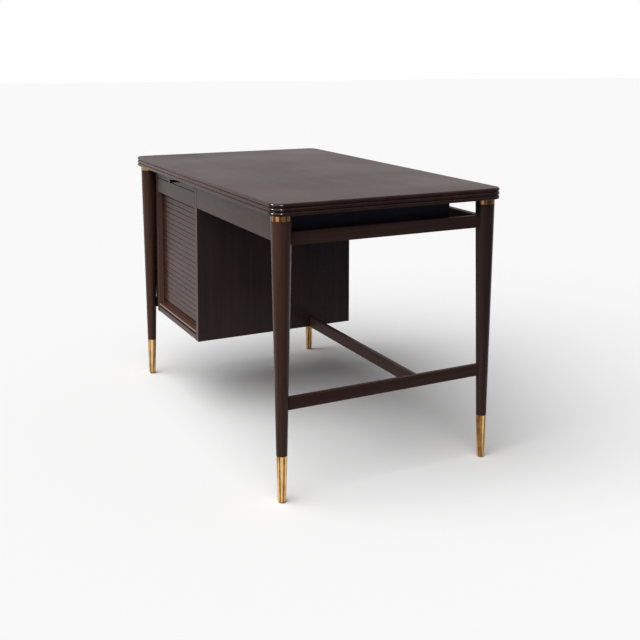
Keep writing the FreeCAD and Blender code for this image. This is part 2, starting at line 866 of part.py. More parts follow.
for tag, x in (
    ("left", ("case_right", "drawer_room_left + runner_lip")),
    ("right", ("drawer_room_right - runner_lip", "rail_inner_x")),
):
    piece(block(f"runner_{tag}", x, RUNNER_DEPTH, RUNNER_HEIGHT), f"drawer_runner_{tag}")

guide = block(
    "guide",
    ("drawer_right + drawer_play", "rail_inner_x"),
    RUNNER_DEPTH,
    ("drawer_rail_top", "drawer_rail_top + guide_height"),
)
piece(guide, "drawer_guide")

DRAWER_KICKER = (("drawer_rail_front", "drawer_end_y"), ("drawer_high + run_gap", "top_under"))
for tag, x in (
    ("left", ("case_right", "drawer_room_left")),
    ("right", ("drawer_room_right", "drawer_right")),
):
    piece(block(f"drawer_hold_{tag}", x, *DRAWER_KICKER), f"drawer_kicker_{tag}")

DRAWER_ROOM = ("drawer_room_left", "drawer_room_right")
drawer_stop = block(
    "drawer_stop",
    DRAWER_ROOM,
    ("drawer_stop_y - drawer_stop_width", "drawer_stop_y"),
    ("top_under - drawer_stop_height", "top_under"),
)
piece(drawer_stop, "drawer_stop_batten")

# ---------------------------------------------------------------------------------------------------------
# Drawer: its face is the apron, and a rebate behind the face's lower edge takes the fingertips
# ---------------------------------------------------------------------------------------------------------

FLOOR = ("drawer_floor", "drawer_floor + drawer_bottom_thick")


def drawer_floor_board(name, gap="0"):
    """The drawer's bottom board or, with a gap, the room that it takes up in the sides and the face."""
    reach = f"(drawer_groove + {gap})"
    across = (f"drawer_room_left - {reach}", f"drawer_room_right + {reach}")
    return block(name, across, (f"drawer_face_back - {reach}", "drawer_end_y"), FLOOR)


floor_room = drawer_floor_board("drawer_floor_room", "glue_gap")
piece(drawer_floor_board("drawer_floor_panel"), "drawer_bottom")

apron = block(
    "apron",
    ("drawer_left", "drawer_face_right"),
    ("front_y", "drawer_face_back"),
    ("rail_bottom", "top_under - drawer_top_gap"),
)
pull = block(
    "finger_pull",
    ("drawer_left - arris", "drawer_face_right + arris"),
    ("drawer_face_back - pull_depth", "drawer_face_back + arris"),
    ("rail_bottom - arris", "rail_bottom + pull_height"),
)
piece(less("apron_cut", eased(apron, lies_along("X")), floor_room, pull), "apron_front")

SIDE_OF_DRAWER = (("drawer_face_back", "drawer_end_y"), ("drawer_low", "drawer_high"))
for tag, x in (
    ("left", ("drawer_left", "drawer_room_left")),
    ("right", ("drawer_room_right", "drawer_right")),
):
    side = eased(block(f"drawer_side_blank_{tag}", x, *SIDE_OF_DRAWER), lies_along("Y"))
    piece(less(f"drawer_side_{tag}_grooved", side, floor_room), f"drawer_side_{tag}")

BACK_OF_DRAWER = ("drawer_back_y", "drawer_end_y")
drawer_back = block("drawer_back_low", DRAWER_ROOM, BACK_OF_DRAWER, (FLOOR[1], "drawer_high"))
raised = block(
    "drawer_back_raised",
    ("drawer_room_left + drawer_back_notch", "drawer_room_right - drawer_back_notch"),
    BACK_OF_DRAWER,
    ("drawer_high", "drawer_high + drawer_back_rise"),
)
piece(joined("drawer_back_whole", [drawer_back, raised]), "drawer_back")

# ---------------------------------------------------------------------------------------------------------
# Tambour: slats on canvas, led by a rail with a finger groove, with their ends in the sides' tracks
# ---------------------------------------------------------------------------------------------------------

lead_back = "face_y + lead_thick"
web_y = "face_y + finger_depth"
lip_top = "lead_bottom + lip_height"
groove_top = f"{lip_top} + finger_height"
rebate_z = "lead_top - lead_rebate"
lead = lengthwise(
    "lead_rail",
    [
        (
            [
                ("face_y", "lead_bottom"),
                (lead_back, "lead_bottom"),
                (lead_back, rebate_z),
                ("hinge_y", rebate_z),
                ("hinge_y", "lead_top"),
                ("face_y", "lead_top"),
                ("face_y", groove_top),
                (web_y, groove_top),
                (web_y, lip_top),
                ("face_y", lip_top),
            ],
            "inner_width - 2 * side_play",
        ),
        (rectangle("face_y", "hinge_y", "lead_bottom", lip_top), "inner_width + 2 * housing"),
        (rectangle("face_y", "hinge_y", groove_top, "lead_top"), "inner_width + 2 * housing"),
    ],
)
piece(put(lead, "case_centre", "0", "0"), "tambour_lead_rail")


def track_point(travel):
    """The place (y, z) on the hinge line, this far along it from the lead rail's top."""
    rise = known("turn_z") - known("lead_top")
    radius = known("turn_radius")
    bend = radius * math.pi / 2
    if travel < rise:
        return known("hinge_y"), known("lead_top") + travel
    if travel < rise + bend:
        angle = (travel - rise) / radius
        return known("turn_y") - radius * math.cos(angle), known("turn_z") + radius * math.sin(angle)
    return known("turn_y") + travel - rise - bend, known("turn_z") + radius


def slat_count():
    """Enough slats to reach from the lead rail through the turn, and the spare ones."""
    curtain = known("turn_z") - known("lead_top") + known("turn_radius") * math.pi / 2
    return math.ceil(curtain / known("slat_pitch")) + SPARE_SLATS


def hinge_points():
    """The hinge lines between slats: each is one pitch, straight across, from the one before."""
    pitch = known("slat_pitch")
    travel = 0.0
    points = [track_point(travel)]
    for _ in range(slat_count()):
        near, far = travel, travel + 2 * pitch
        for _ in range(60):
            middle = (near + far) / 2
            if math.dist(track_point(middle), points[-1]) < pitch:
                near = middle
            else:
                far = middle
        travel = far
        points.append(track_point(travel))
    return points


def slat_section(start, end):
    """A slat's section between two hinge points: flat at the back, its front edges rounded."""
    along = FreeCAD.Vector(0, end[0] - start[0], end[1] - start[1]).normalize()
    out = FreeCAD.Vector(0, -along.z, along.y)
    foot = FreeCAD.Vector(0, *start)
    trim = known("slat_gap") / 2
    width = known("slat_pitch")
    thick = known("slat_thick")
    soft = known("slat_round")
    bevel = soft * (1 - math.sqrt(0.5))

    def corner(run, rise):
        return foot + along * run + out * rise

    low, high = trim, width - trim
    edges = [
        Part.LineSegment(corner(low, 0), corner(high, 0)),
        Part.LineSegment(corner(high, 0), corner(high, thick - soft)),
        Part.Arc(corner(high, thick - soft), corner(high - bevel, thick - bevel), corner(high - soft, thick)),
        Part.LineSegment(corner(high - soft, thick), corner(low + soft, thick)),
        Part.Arc(corner(low + soft, thick), corner(low + bevel, thick - bevel), corner(low, thick - soft)),
        Part.LineSegment(corner(low, thick - soft), corner(low, 0)),
    ]
    return Part.Face(Part.Wire([edge.toShape() for edge in edges]))


def prism(face, length):
    """The face, which lies in the plane X = 0, drawn out along X, with its middle at the case's middle."""
    solid = face.extrude(FreeCAD.Vector(length, 0, 0))
    solid.translate(FreeCAD.Vector(known("case_centre") - length / 2, 0, 0))
    return solid


def canvas_section(points):
    """The canvas along the backs of the slats, from its lap on the lead rail to the last slat."""
    thick = known("canvas_thick")
    line = [(points[0][0], points[0][1] - known("canvas_lap"))] + points[1:]
    inner = []
    for i, (y, z) in enumerate(line):
        before = line[max(i - 1, 0)]
        after = line[min(i + 1, len(line) - 1)]
        here = FreeCAD.Vector(0, y, z)
        ways = []
        for one, other in ((before, (y, z)), ((y, z), after)):
            if one != other:
                way = FreeCAD.Vector(0, other[0] - one[0], other[1] - one[1]).normalize()
                ways.append(FreeCAD.Vector(0, way.z, -way.y))
        mitre = (ways[0] + ways[-1]).normalize()
        inner.append(here + mitre * (thick / mitre.dot(ways[0])))
    outline = [FreeCAD.Vector(0, y, z) for y, z in line] + inner[::-1]
    return Part.Face(Part.makePolygon(outline + outline[:1]))


hinges = hinge_points()
slat_length = known("inner_width") + 2 * known("housing")
slat_solids = [prism(slat_section(start, end), slat_length) for start, end in zip(hinges, hinges[1:])]
slats = doc.addObject("Part::Feature", "slats")
slats.Shape = Part.makeCompound(slat_solids)
piece(slats, "tambour_slats")

canvas = doc.addObject("Part::Feature", "canvas")
canvas.Shape = prism(canvas_section(hinges), known("inner_width") - 2 * known("canvas_margin"))
piece(canvas, "tambour_canvas")

# ---------------------------------------------------------------------------------------------------------
# Check every object, then write each sub-part to its own file
# ---------------------------------------------------------------------------------------------------------

doc.recompute()
for thing in doc.Objects:
    if "Invalid" in thing.State or "Error" in thing.State:
        raise SystemExit(f"{thing.Name} failed: {thing.State}")
for thing in pieces:
    if thing.Shape.isNull() or not thing.Shape.isValid() or not thing.Shape.Solids:
        raise SystemExit(f"{thing.Label} has no valid solid")

os.makedirs("parts", exist_ok=True)
for thing in pieces:
    thing.Shape.exportStep(f"parts/{thing.Label}.step")
print(f"{len(pieces)} sub-parts written")
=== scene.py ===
"""Looks for the tambour desk: camera, light, materials and curtain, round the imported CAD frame."""

import math

import bmesh
import bpy
from mathutils import Matrix, Vector


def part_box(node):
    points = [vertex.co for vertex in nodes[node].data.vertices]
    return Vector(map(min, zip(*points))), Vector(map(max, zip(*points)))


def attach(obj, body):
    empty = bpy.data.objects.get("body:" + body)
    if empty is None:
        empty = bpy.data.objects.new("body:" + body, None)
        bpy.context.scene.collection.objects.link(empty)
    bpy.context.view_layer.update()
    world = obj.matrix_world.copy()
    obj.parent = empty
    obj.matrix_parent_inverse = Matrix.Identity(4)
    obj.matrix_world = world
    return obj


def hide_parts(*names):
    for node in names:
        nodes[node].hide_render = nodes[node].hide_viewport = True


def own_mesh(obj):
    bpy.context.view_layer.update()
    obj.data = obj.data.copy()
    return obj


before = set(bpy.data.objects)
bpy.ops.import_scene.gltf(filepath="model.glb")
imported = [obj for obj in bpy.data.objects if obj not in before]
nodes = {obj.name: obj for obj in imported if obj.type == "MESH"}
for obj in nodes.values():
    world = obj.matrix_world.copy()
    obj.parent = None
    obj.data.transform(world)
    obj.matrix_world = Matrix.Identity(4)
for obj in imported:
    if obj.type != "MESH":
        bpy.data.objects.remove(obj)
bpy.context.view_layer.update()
scene = bpy.context.scene

# ---------------------------------------------------------------------------------------------------------
# Camera: where the photograph was taken from
# ---------------------------------------------------------------------------------------------------------

CAMERA_PLACE = (2.7468, -1.2537, 1.1298)
CAMERA_AZIMUTH = math.radians(61.19)  # 0 looks along +Y, 90 along -X
CAMERA_DOWN = math.radians(6.08)
CAMERA_ROLL = math.radians(0.40)
CAMERA_LENS = 55.54
CAMERA_SENSOR = 36
CAMERA_SHIFT = (-0.0803, -0.2576)
CAMERA_REACH = 100  # how far it sees


def make_camera():
    """The camera, turned by its azimuth, then down, then about its own line of sight."""
    data = bpy.data.cameras.new("camera")
    data.sensor_width = CAMERA_SENSOR
    data.lens = CAMERA_LENS
    data.shift_x, data.shift_y = CAMERA_SHIFT
    data.clip_end = CAMERA_REACH
    camera = bpy.data.objects.new("camera", data)
    scene.collection.objects.link(camera)
    level = math.cos(CAMERA_DOWN)
    cosine = math.cos(CAMERA_AZIMUTH)
    sine = math.sin(CAMERA_AZIMUTH)
    ahead = Vector((-sine * level, cosine * level, -math.sin(CAMERA_DOWN)))
    right = Vector((cosine, sine, 0))
    up = right.cross(ahead)
    rolled_right = right * math.cos(CAMERA_ROLL) + up * math.sin(CAMERA_ROLL)
    rolled_up = up * math.cos(CAMERA_ROLL) - right * math.sin(CAMERA_ROLL)
    turn = Matrix((rolled_right, rolled_up, -ahead)).transposed().to_4x4()
    camera.matrix_world = Matrix.Translation(CAMERA_PLACE) @ turn
    scene.camera = camera


# ---------------------------------------------------------------------------------------------------------
# Node helpers
# ---------------------------------------------------------------------------------------------------------

# A Mix node's sockets when it mixes colours
MIX_SHARE = 0
MIX_LOW = 6
MIX_HIGH = 7
MIX_RESULT = 2


class Tree:
    """Short ways to add and join shader nodes."""

    def __init__(self, tree):
        self.tree = tree
        tree.nodes.clear()

    def add(self, kind, **settings):
        node = self.tree.nodes.new(kind)
        for name, value in settings.items():
            setattr(node, name, value)
        return node

    def join(self, source, target):
        self.tree.links.new(source, target)

    def put(self, socket, value):
        """Join a socket to another one, or give it a value. A colour may come without its alpha."""
        if isinstance(value, bpy.types.NodeSocket):
            self.join(value, socket)
        elif socket.type == "RGBA" and len(value) == 3:
            socket.default_value = (*value, 1)
        else:
            socket.default_value = value

    def feed(self, node, **values):
        """Set or join a node's inputs. An underscore in a name stands for a space."""
        for name, value in values.items():
            self.put(node.inputs[name.replace("_", " ")], value)

    def math(self, operation, *values, clamp=False):
        node = self.add("ShaderNodeMath", operation=operation, use_clamp=clamp)
        for socket, value in zip(node.inputs, values):
            self.put(socket, value)
        return node.outputs[0]

    def scaled(self, value, factor):
        return self.math("MULTIPLY", value, factor)

    def mix(self, share, low, high):
        """A colour between low and high."""
        node = self.add("ShaderNodeMix", data_type="RGBA")
        self.put(node.inputs[MIX_SHARE], share)
        self.put(node.inputs[MIX_LOW], low)
        self.put(node.inputs[MIX_HIGH], high)
        return node.outputs[MIX_RESULT]

    def noise(self, vector, scale, detail, roughness, distortion=0.0):
        """Noise from 0 to 1, with about as many lumps to a unit of the vector as its scale says."""
        node = self.add("ShaderNodeTexNoise")
        self.feed(node, Vector=vector, Scale=scale)
        self.feed(node, Detail=detail, Roughness=roughness, Distortion=distortion)
        return node.outputs["Fac"]

    def ramp(self, value, low, high, low_out=0.0, high_out=1.0, smooth=False):
        """The value, spread from low..high to low_out..high_out and held at the ends."""
        node = self.add("ShaderNodeMapRange", clamp=True)
        if smooth:
            node.interpolation_type = "SMOOTHSTEP"
        self.feed(node, Value=value, From_Min=low, From_Max=high, To_Min=low_out, To_Max=high_out)
        return node.outputs["Result"]

    def stretched(self, vector, scale):
        """A vector times a scale for each axis."""
        node = self.add("ShaderNodeMapping")
        self.feed(node, Vector=vector, Scale=scale)
        return node.outputs["Vector"]


def new_material(name, specular=0.5):
    """A material with a plain shader, whose colour and roughness are still to be fed."""
    material = bpy.data.materials.new(name)
    material.use_nodes = True
    tree = Tree(material.node_tree)
    shader = tree.add("ShaderNodeBsdfPrincipled")
    shader.inputs["Specular IOR Level"].default_value = specular
    output = tree.add("ShaderNodeOutputMaterial")
    tree.join(shader.outputs["BSDF"], output.inputs["Surface"])
    return material, tree, shader


def linear(red, green, blue):
    """A colour written as 0 to 255 sRGB, as the linear numbers that shaders take."""

    def one(value):
        value /= 255
        return value / 12.92 if value <= 0.04045 else ((value + 0.055) / 1.055) ** 2.4

    return (one(red), one(green), one(blue))


# ---------------------------------------------------------------------------------------------------------
# Materials
# ---------------------------------------------------------------------------------------------------------

ALONG = {"X": 0, "Y": 1, "Z": 2}

# Wood's noises: lumps to the metre across the grain and along it, then detail, roughness and distortion
BANDS = (22, 0.9, 5, 0.55, 0.6)
STREAKS = (160, 3.5, 6, 0.65)
PORES = (900, 24, 2, 0.5)

# Its noises that have no grain: lumps to the metre, detail and roughness
CLOUDS = (3.0, 2, 0.5)
RUBBING = (38.0, 4, 0.6)

# How its noises turn into colour, roughness and relief
BAND_SHARE = 0.65  # the streaks have the rest
FIGURE_ENDS = (0.32, 0.68)
PORE_ENDS = (0.62, 0.74)
PORE_SHARE = 0.55
PORE_DARKENING = 0.45
PORE_ROUGHNESS = 0.08
RUB_ENDS = (0.40, 0.62)
RUB_SHARE = 0.75
CLOUD_ENDS = (0.3, 0.7)
CLOUD_ROUGHNESS = (-0.03, 0.05)
STREAK_RELIEF = 0.25
PORE_RELIEF = 0.6
RELIEF_STRENGTH = 0.05
RELIEF_DEPTH = 0.0004
ARRIS = 0.0012  # how far from an edge its rounding and its edge tone are seen: wear on most pieces, painted light on some
BEVEL_SAMPLES = 4
BEND_ENDS = (0.995, 0.85)  # the cosines of a bevel's turn, from a flat face to a full edge

# The roughness and the reflection of each use of it
WOOD_ROUGHNESS = 0.27
INNER_ROUGHNESS = 0.5
BOX_ROUGHNESS = 0.42
RAIL_ROUGHNESS = 0.42
TOP_ROUGHNESS = 0.40
LIP_ROUGHNESS = 0.2
EDGE_ROUGHNESS = 0.12
WOOD_SPECULAR = 0.13
LEG_SPECULAR = 0.16
TOP_SPECULAR = 0.07
RAIL_SPECULAR = 0.04
EDGE_SPECULAR = 0.13
FRONT_SPECULAR = 0.09
STILE_SPECULAR = 0.05
TOP_FIGURE = 0.8  # broader bands than on the other pieces
FRONT_GROOVE_LIGHT_REACH = 0.003  # how far from an edge the front reeds are shaded round and their worn tone spreads, which lightens their grooves: painted light over the grooves' shade

# Brass: streaks run down it, partly tarnish and partly painted reflections like the stripes a polished rod
# mirrors; fine scratches run round it. Lumps to the metre along X, Y and Z
TARNISH_AND_REFLECTION_STREAKS = (190, 190, 2)
BRASS_STREAK_NOISE = (0, 0.5)  # detail and roughness
SCRATCHES = (60, 60, 900)
SCRATCH_NOISE = (3, 0.6)
BLOOM = (40.0, 4, 0.6)
BRASS_STREAK_ENDS = (0.38, 0.60)
BRASS_STREAK_SHARE = 0.8
BLOOM_ENDS = (0.45, 0.75)
BLOOM_SHARE = 0.3
SCRATCH_ROUGHNESS = 0.06
SHINE_ENDS = (0.35, 0.7)
SHINE_ROUGHNESS = (0.12, 0.24)
BRASS_ARRIS = 0.0006
BRASS_RELIEF = 0.04
BRASS_DEPTH = 0.0002
BRASS_FOOT_SHADE = (0.001, 0.006)  # from the floor up to where the painted shade at the brass's foot has faded

# Canvas
THREADS = 420.0
SOILING = (18.0, 3, 0.5)
CANVAS_ROUGHNESS = 0.9
CANVAS_RELIEF = 0.4
CANVAS_DEPTH = 0.0004


def edge_share(tree, reach):
    """1 on outer edges and 0 on flat faces, from how much a bevel would turn the surface."""
    bevel = tree.add("ShaderNodeBevel", samples=BEVEL_SAMPLES)
    bevel.inputs["Radius"].default_value = reach
    geometry = tree.add("ShaderNodeNewGeometry")
    product = tree.add("ShaderNodeVectorMath", operation="DOT_PRODUCT")
    tree.join(bevel.outputs["Normal"], product.inputs[0])
    tree.join(geometry.outputs["Normal"], product.inputs[1])
    return tree.ramp(product.outputs["Value"], *BEND_ENDS), bevel.outputs["Normal"]


def wood(name, along, tones, roughness=WOOD_ROUGHNESS, figure=1.0, specular=WOOD_SPECULAR, edge_reach=ARRIS):
    """Dark stained, lacquered wood with its grain along one axis. Tones are dark, light and the edges'
    tone, which is wear on most pieces and painted light on the stile, lip and sill.
    """
    material, tree, shader = new_material(name, specular)
    dark, light, edge_wear_and_light = (linear(*tone) for tone in tones)
    place = tree.add("ShaderNodeTexCoord").outputs["Object"]

    def grain(across, length, *settings):
        scale = [across] * 3
        scale[ALONG[along]] = length
        return tree.noise(tree.stretched(place, scale), 1.0, *settings)

    across, *others = BANDS
    bands = grain(across * figure, *others)
    streaks = grain(*STREAKS)
    pores = grain(*PORES)
    clouds = tree.noise(place, *CLOUDS)
    share = tree.math("ADD", tree.scaled(bands, BAND_SHARE), tree.scaled(streaks, 1 - BAND_SHARE))
    colour = tree.mix(tree.ramp(share, *FIGURE_ENDS), dark, light)
    pore = tree.ramp(pores, *PORE_ENDS)
    darker = [PORE_DARKENING * channel for channel in dark]
    colour = tree.mix(tree.scaled(pore, PORE_SHARE), colour, darker)
    edges, softened = edge_share(tree, edge_reach)
    # The edge tone: wear on most pieces; on the stile, lip and sill it paints light caught by the edges
    rub_and_light_patches = tree.ramp(tree.noise(place, *RUBBING), *RUB_ENDS)
    colour = tree.mix(tree.scaled(edges, tree.scaled(rub_and_light_patches, RUB_SHARE)), colour, edge_wear_and_light)
    rough = tree.math("ADD", roughness, tree.ramp(clouds, *CLOUD_ENDS, *CLOUD_ROUGHNESS))
    rough = tree.math("ADD", rough, tree.scaled(pore, PORE_ROUGHNESS))
    relief = tree.math("SUBTRACT", tree.scaled(streaks, STREAK_RELIEF), tree.scaled(pore, PORE_RELIEF))
    bump = tree.add("ShaderNodeBump")
    tree.feed(bump, Strength=RELIEF_STRENGTH, Distance=RELIEF_DEPTH, Height=relief, Normal=softened)
    tree.feed(shader, Base_Color=colour, Roughness=rough, Normal=bump.outputs["Normal"])
    return material


def brass(name, tones):
    """Polished brass, with streaks down its length that are partly tarnish and partly painted reflections,
    finer scratches round it, and painted shade at its foot.
    """
    material, tree, shader = new_material(name)
    clean, tarnish_and_shade = (linear(*tone) for tone in tones)
    place = tree.add("ShaderNodeTexCoord").outputs["Object"]
    streaks = tree.noise(tree.stretched(place, TARNISH_AND_REFLECTION_STREAKS), 1.0, *BRASS_STREAK_NOISE)
    cloud = tree.noise(place, *BLOOM)
    scratches = tree.noise(tree.stretched(place, SCRATCHES), 1.0, *SCRATCH_NOISE)
    height = tree.add("ShaderNodeSeparateXYZ")
    tree.join(place, height.inputs[0])
    # Painted shade: the brass is darkened towards the floor, for the shade where a foot meets it
    foot_shade = tree.ramp(height.outputs["Z"], *BRASS_FOOT_SHADE, 1.0, 0.0)
    # Painted reflections: the streaks darken and lighten the brass in stripes down its length, besides its
    # tarnish
    streaked = tree.scaled(tree.ramp(streaks, *BRASS_STREAK_ENDS, smooth=True), BRASS_STREAK_SHARE)
    bloom = tree.ramp(cloud, *BLOOM_ENDS, 0.0, BLOOM_SHARE)
    share = tree.math("MAXIMUM", tree.math("ADD", streaked, bloom, clamp=True), foot_shade)
    colour = tree.mix(share, clean, tarnish_and_shade)
    shine = tree.ramp(cloud, *SHINE_ENDS, *SHINE_ROUGHNESS)
    rough = tree.math("ADD", shine, tree.scaled(scratches, SCRATCH_ROUGHNESS))
    _, softened = edge_share(tree, BRASS_ARRIS)
    bump = tree.add("ShaderNodeBump")
    tree.feed(bump, Strength=BRASS_RELIEF, Distance=BRASS_DEPTH, Height=scratches, Normal=softened)
    tree.feed(shader, Base_Color=colour, Roughness=rough, Metallic=1.0, Normal=bump.outputs["Normal"])
    return material


def cloth(name, tones):
    """Plain woven canvas."""
    material, tree, shader = new_material(name)
    dark, light = (linear(*tone) for tone in tones)
    place = tree.add("ShaderNodeTexCoord").outputs["Object"]
    threads = []
    for axis in "XZ":
        wave = tree.add("ShaderNodeTexWave", bands_direction=axis, wave_profile="SIN")
        tree.feed(wave, Vector=place, Scale=THREADS)
        threads.append(wave.outputs["Fac"])
    colour = tree.mix(tree.noise(place, *SOILING), dark, light)
    bump = tree.add("ShaderNodeBump")
    weave = tree.math("MAXIMUM", *threads)
    tree.feed(bump, Strength=CANVAS_RELIEF, Distance=CANVAS_DEPTH, Height=weave)
    tree.feed(shader, Base_Color=colour, Roughness=CANVAS_ROUGHNESS, Normal=bump.outputs["Normal"])
    return material


# Tones in sRGB: clean brass and its dark tone for tarnish, painted reflections and painted shade, dark and
# light cloth, and dark, light and edge wood, whose edge tone is wear on most pieces and painted light on
# some
BRASS = ((244, 200, 136), (120, 76, 34))
# Painted shade: the rings' brass is darker than the rest, for the shade under the desktop and the dark
# surroundings they reflect
RING_PAINTED_SHADE = ((186, 138, 84), (70, 42, 24))
# Painted shade: the knob's brass is made dark all over, for the shade on its unlit side
KNOB_PAINTED_SHADE = ((70, 56, 44), (30, 22, 18))
CANVAS = ((120, 102, 78), (150, 132, 104))
WORN = (112, 66, 40)
WALNUT = ((44, 24, 20), (72, 41, 34), WORN)
# Painted shade: the kneehole side's right-facing face has greyer, bluer tones, for the colour of the
# desktop's shade over it
PANEL_PAINTED_SHADE = ((51, 37, 37), (67, 51, 50), WORN)
RAIL = ((52, 36, 34), (78, 58, 54), WORN)
TOP = ((38, 22, 19), (58, 36, 30), WORN)
EDGE = ((42, 25, 21), (60, 36, 29), WORN)
# Painted light: the desktop's front-facing reeds are lighter and warmer than its other edges, for the light
# that falls on the front
FRONT_PAINTED_LIGHT = ((60, 36, 32), (84, 54, 48), WORN)
# Painted highlight: the front of the ledge under the tambour is pale, for the light its rounded arris
# catches
LIP_PAINTED_HIGHLIGHT = ((126, 104, 88), (164, 142, 124), (176, 150, 128))
# Painted light: the top of that ledge is lighter and warmer, for the warm light it catches
SILL_PAINTED_LIGHT = ((66, 42, 32), (98, 62, 48), (126, 104, 88))
# Painted shade and light: the left side's front edge is darkened for the shade and dark reflection of the
# leg beside it, and its coppery edge tone paints light catching its inner arris
STILE_PAINTED_SHADE_AND_LIGHT = ((34, 20, 17), (52, 32, 26), (200, 136, 104))
# Painted light: the left wall of the tambour recess is lighter and warmer, for the light falling on it from
# the right
REVEAL_PAINTED_LIGHT = ((84, 62, 53), (116, 88, 76), WORN)
LEG = ((45, 26, 20), (90, 60, 48), WORN)
# Painted shade: the rear legs take a darker copy of the legs' tones, for the lower light at the back
REAR_LEG_PAINTED_SHADE = ((36, 22, 19), (66, 47, 43), WORN)
INNER = ((112, 78, 50), (146, 108, 72), (160, 122, 84))
BOX = ((38, 35, 44), (54, 48, 58), (58, 44, 36))

FACING = 0.9  # a face looks along an axis when its normal has more of it than this
STRAIGHT = 0.02  # a normal with less of an axis than this is square to it


def along_each(axes, name, tones, **settings):
    """A kind of wood with its grain along each of these axes."""
    return {axis: wood(f"{name}_{axis}", axis, tones, **settings) for axis in axes}


def dress_nodes(body, canvas):
    """Give every CAD node its material: the first one here whose start of a name fits."""
    inner = along_each("XYZ", "inner", INNER, roughness=INNER_ROUGHNESS)
    box = along_each("XY", "drawer", BOX, roughness=BOX_ROUGHNESS)
    rail = along_each("XY", "rail", RAIL, roughness=RAIL_ROUGHNESS, specular=RAIL_SPECULAR)
    metal = brass("brass", BRASS)
    finishes = {
        "desktop": wood("walnut_top", "X", TOP, TOP_ROUGHNESS, TOP_FIGURE, TOP_SPECULAR),
        "leg_ring": brass("ring_brass_painted_shade", RING_PAINTED_SHADE),
        "leg_rear": wood("walnut_rear_leg_painted_shade", "Z", REAR_LEG_PAINTED_SHADE),
        "leg_": wood("walnut_leg", "Z", LEG, specular=LEG_SPECULAR),
        "ferrule": metal,
        "shelf_pins": metal,
        "slide_knob": brass("knob_brass_painted_shade", KNOB_PAINTED_SHADE),
        "tambour_canvas": canvas,
        "case_back": body["Z"],
        "case_side": body["Z"],
        "spacer": body["Z"],
        "back_rail": rail["X"],
        "stretcher_long": rail["X"],
        "stretcher": rail["Y"],
        "end_rail": rail["Y"],
        "drawer_side": box["Y"],
        "drawer_back": box["X"],
        "drawer_bottom": inner["X"],
        "drawer_stop_batten": inner["X"],
        "drawer_": inner["Y"],
        "slide_bed": inner["X"],
        "slide_stop_batten": inner["X"],
        "slide_stop_dowels": inner["Z"],
        "slide_kicker": inner["Y"],
        "track_guard": inner["X"],
        "base_rail_rear": inner["X"],
        "top_dowels": inner["Z"],
        "": body["X"],
    }
    for name, node in nodes.items():
        finish = next(finish for start, finish in finishes.items() if name.startswith(start))
        node.data.materials.clear()
        node.data.materials.append(finish)
        for face in node.data.polygons:
            face.material_index = 0


def face_finish(node_name, finish, chosen):
    """A second finish for the faces of a node whose normals are chosen."""
    data = nodes[node_name].data
    data.materials.append(finish)
    for face in data.polygons:
        if chosen(face.normal):
            face.material_index = len(data.materials) - 1


def dress_faces():
    """The faces given their own tones by the way they look: most paint light or shade, as the lit recess
    wall and sill, the shaded kneehole side and stile, the highlit lip and the lit front of the desktop's
    edge, while the desktop's other edges only take a glossier finish.
    """
    reveal = wood("walnut_reveal_painted_light", "Z", REVEAL_PAINTED_LIGHT)
    panel = wood("walnut_panel_painted_shade", "Z", PANEL_PAINTED_SHADE)
    stile = wood("walnut_stile_painted_shade_and_light", "Z", STILE_PAINTED_SHADE_AND_LIGHT, specular=STILE_SPECULAR)
    lip = wood("walnut_lip_painted_highlight", "X", LIP_PAINTED_HIGHLIGHT, roughness=LIP_ROUGHNESS)
    sill = wood("walnut_sill_painted_light", "X", SILL_PAINTED_LIGHT)
    edge = wood("walnut_edge", "X", EDGE, EDGE_ROUGHNESS, TOP_FIGURE, EDGE_SPECULAR)
    front = wood("walnut_front_painted_light", "X", FRONT_PAINTED_LIGHT, EDGE_ROUGHNESS, TOP_FIGURE, FRONT_SPECULAR, FRONT_GROOVE_LIGHT_REACH)

    def in_front(normal):
        """Whether a face of the edge looks to the front, and not at all to a side."""
        return abs(normal.z) < FACING and normal.y < 0 and abs(normal.x) < STRAIGHT

    # Painted light and shade, chosen by which way each face looks
    face_finish("case_side_outer", reveal, lambda normal: normal.x > FACING)
    face_finish("case_side_inner", panel, lambda normal: normal.x > FACING)
    face_finish("case_side_outer", stile, lambda normal: normal.y < -FACING)
    face_finish("case_bottom", lip, lambda normal: normal.y < -FACING)
    face_finish("case_bottom", sill, lambda normal: normal.z > FACING)
    face_finish("desktop", edge, lambda normal: abs(normal.z) < FACING)
    face_finish("desktop", front, in_front)


# ---------------------------------------------------------------------------------------------------------
# The curtain: one piece for what rises with the lead rail, and one for what fills the turn of the track
# ---------------------------------------------------------------------------------------------------------

TURN_START = 0.6575  # a slat whose top is over this is in the turn of the track
CANVAS_CUT = 0.6567  # where the canvas is cut, just under the top of the last slat that rises
CANVAS_THICK = 0.0007
WELD = 1e-6  # corners nearer than this are joined


def welded(node_name):
    """A copy of a CAD node's mesh as a bmesh with its corners joined up."""
    mesh = bmesh.new()
    mesh.from_mesh(nodes[node_name].data)
    bmesh.ops.remove_doubles(mesh, verts=mesh.verts, dist=WELD)
    return mesh


def islands(node_name):
    """The separate closed solids of a CAD node, as lists of faces in one bmesh."""
    mesh = welded(node_name)
    left = set(mesh.faces)
    found = []
    while left:
        group = []
        waiting = [left.pop()]
        while waiting:
            face = waiting.pop()
            group.append(face)
            for side in face.edges:
                for other in side.link_faces:
                    if other in left:
                        left.remove(other)
                        waiting.append(other)
        found.append(group)
    return mesh, found


